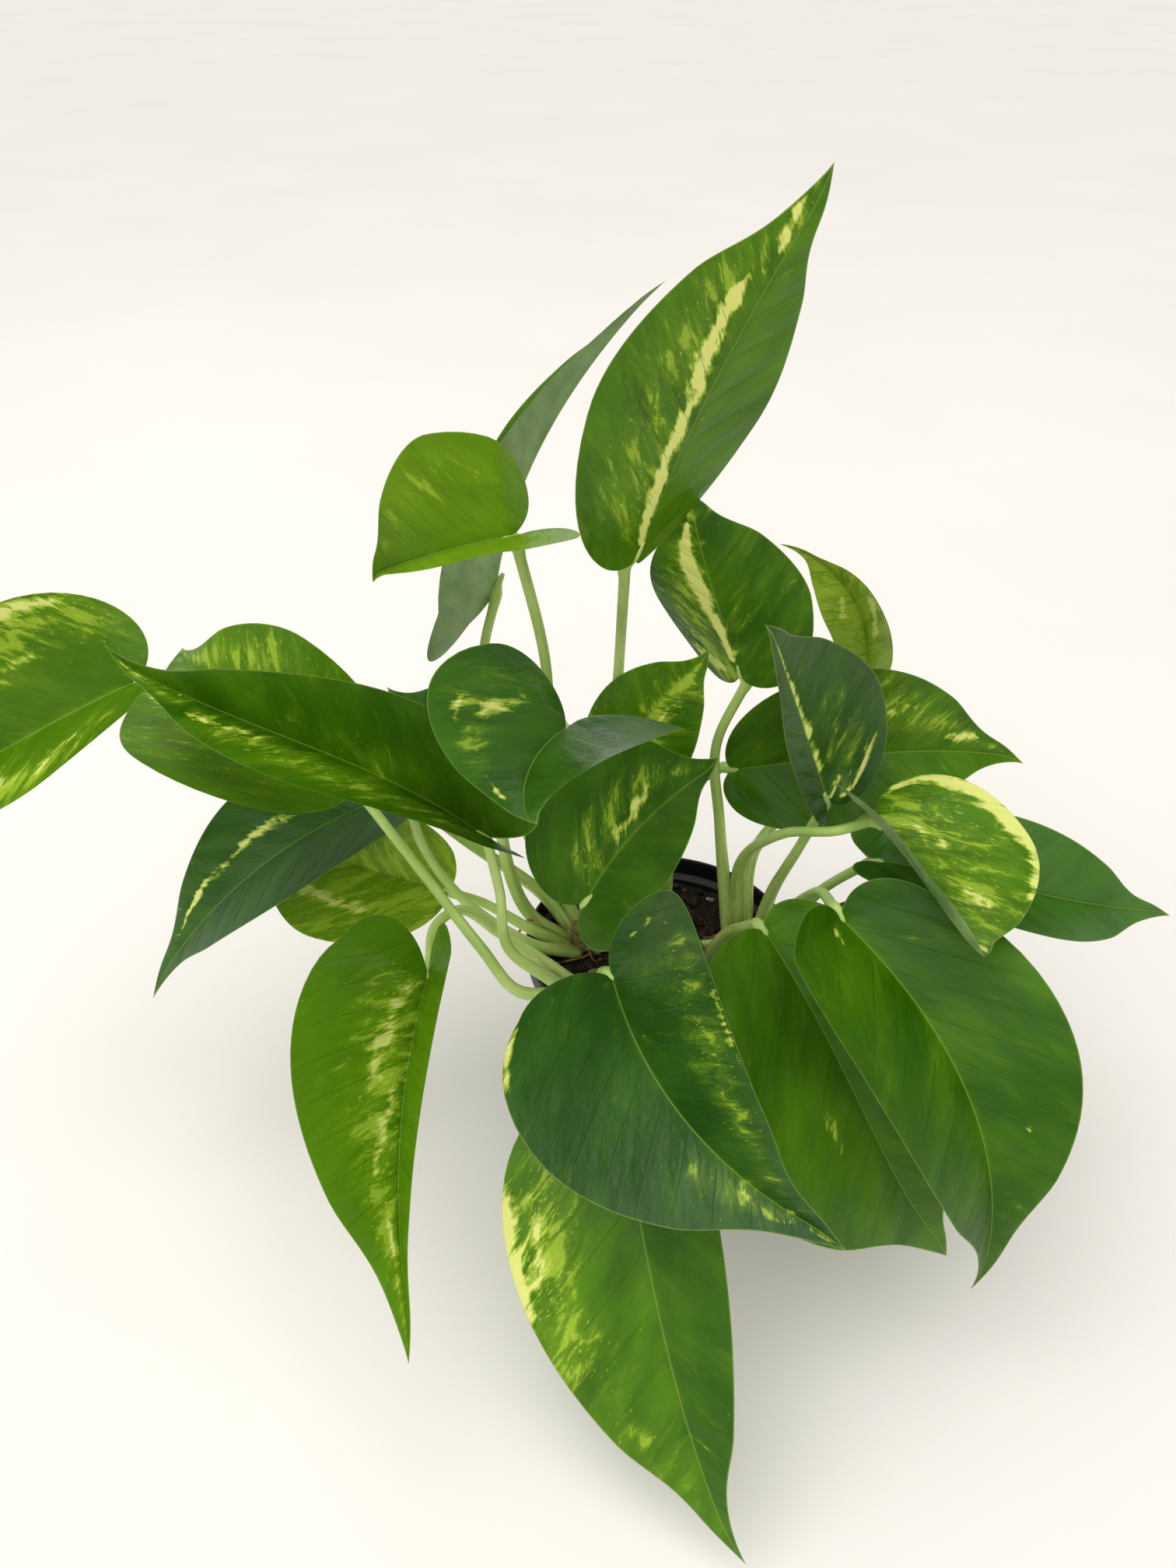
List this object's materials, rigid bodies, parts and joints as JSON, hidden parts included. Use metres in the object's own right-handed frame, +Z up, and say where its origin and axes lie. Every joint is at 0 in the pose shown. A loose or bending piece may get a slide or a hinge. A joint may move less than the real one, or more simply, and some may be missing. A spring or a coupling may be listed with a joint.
{
  "type": "potted pothos plant",
  "caption": "Leafy trailing houseplant with heart-shaped, lightly variegated leaves on arching stalks, rooted in a round black nursery pot that stands on its flat base.",
  "frame": {"origin": "centre of the pot's flat underside, on the surface it stands on", "axes": "+Z up through the pot's axis; -Y is the side that the large front leaves hang over"},
  "size_m": [0.4874, 0.2622, 0.3689],
  "materials": {
    "pot_plastic": "black injection-moulded plastic, slightly glossy",
    "soil": "dark moist peat compost with pale specks",
    "stem": "green vine stem with brown papery sheaths",
    "petiole": "smooth pale green, slightly waxy",
    "leaf_light": "waxy leaf, yellow-green mottling",
    "leaf_mid": "waxy leaf, a few cream and yellow-green streaks",
    "leaf_dark": "waxy dark blue-green leaf"
  },
  "bodies": {
    "root": {"pot": "pot_plastic", "soil": "soil", "stem_back": "stem", "stem_left": "stem", "stem_centre": "stem", "stem_front": "stem", "stem_middle": "stem", "stem_right": "stem", "leaf_crown": "leaf_mid", "petiole_crown": "petiole", "leaf_back_tall": "leaf_mid", "petiole_back_tall": "petiole", "leaf_upper_left": "leaf_light", "petiole_upper_left": "petiole", "leaf_upper_right": "leaf_mid", "petiole_upper_right": "petiole", "leaf_young_curled": "leaf_light", "petiole_young_curled": "petiole", "leaf_behind_centre": "leaf_mid", "petiole_behind_centre": "petiole", "leaf_right_upright": "leaf_dark", "petiole_right_upright": "petiole", "leaf_right_drooping": "leaf_mid", "petiole_right_drooping": "petiole", "leaf_right_back": "leaf_mid", "petiole_right_back": "petiole", "leaf_centre": "leaf_mid", "petiole_centre": "petiole", "leaf_centre_left": "leaf_dark", "petiole_centre_left": "petiole", "leaf_left_long": "leaf_mid", "petiole_left_long": "petiole", "leaf_left_wide": "leaf_light", "petiole_left_wide": "petiole", "leaf_far_left": "leaf_light", "petiole_far_left": "petiole", "leaf_left_dark": "leaf_dark", "petiole_left_dark": "petiole", "leaf_left_mottled": "leaf_light", "petiole_left_mottled": "petiole", "leaf_left_hanging": "leaf_mid", "petiole_left_hanging": "petiole", "leaf_front_large": "leaf_dark", "petiole_front_large": "petiole", "leaf_front_hanging": "leaf_mid", "petiole_front_hanging": "petiole", "leaf_front_right": "leaf_mid", "petiole_front_right": "petiole", "leaf_right_large": "leaf_mid", "petiole_right_large": "petiole", "leaf_far_right": "leaf_dark", "petiole_far_right": "petiole", "leaf_right_low": "leaf_dark", "petiole_right_low": "petiole", "leaf_left_back": "leaf_dark", "petiole_left_back": "petiole"}
  },
  "joints": []
}
